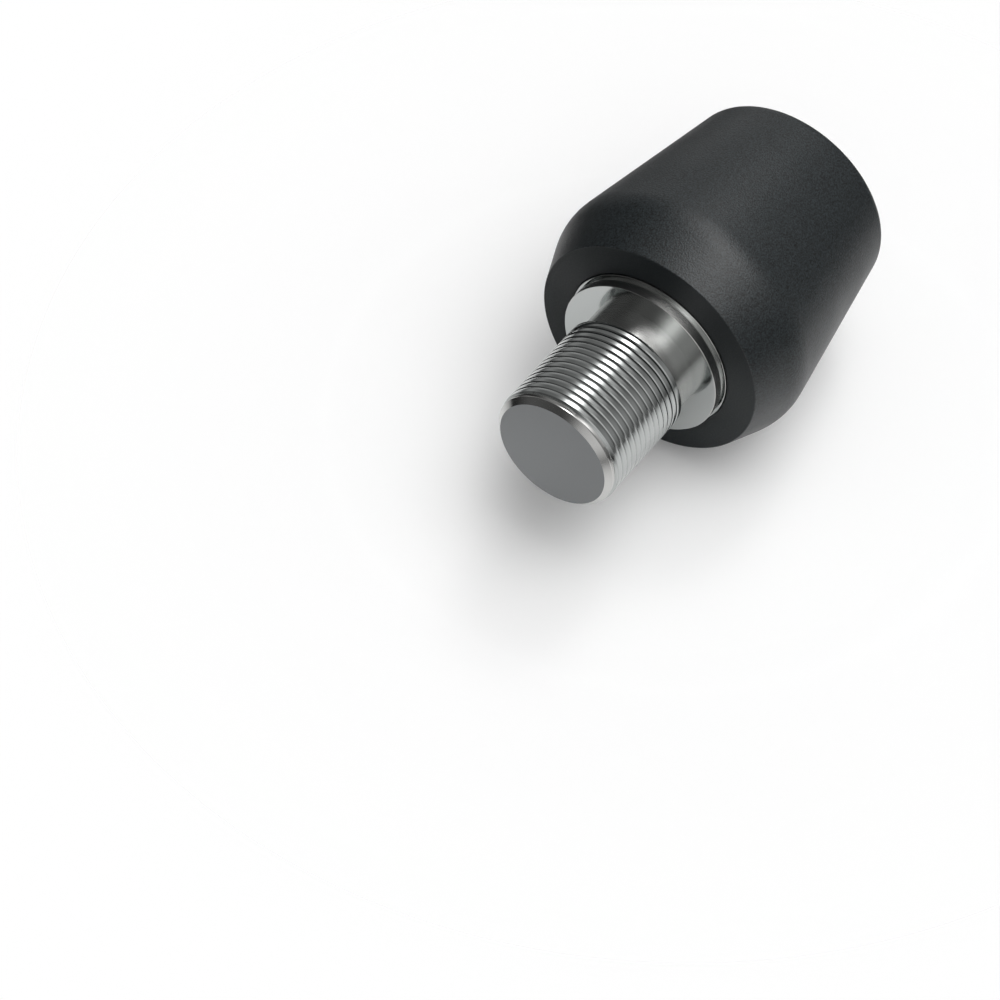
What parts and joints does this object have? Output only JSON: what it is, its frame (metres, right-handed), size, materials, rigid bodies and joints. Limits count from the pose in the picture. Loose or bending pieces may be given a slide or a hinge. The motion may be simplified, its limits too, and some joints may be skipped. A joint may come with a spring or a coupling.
{
  "type": "bar end weight",
  "caption": "Turned steel handlebar end weight with a threaded spigot and flange, in a rounded black nylon sleeve with a tool recess.",
  "frame": {"origin": "centre of the flat outer face, which looks away from the handlebar", "axes": "+Z along the turned axis, from the outer face to the tip of the threaded spigot, into the handlebar"},
  "size_m": [0.036, 0.036, 0.054],
  "materials": {
    "black_nylon": "fine satin grain",
    "stainless_steel": "fine turned"
  },
  "bodies": {
    "root": {"sleeve": "black_nylon", "core": "stainless_steel"}
  },
  "joints": []
}
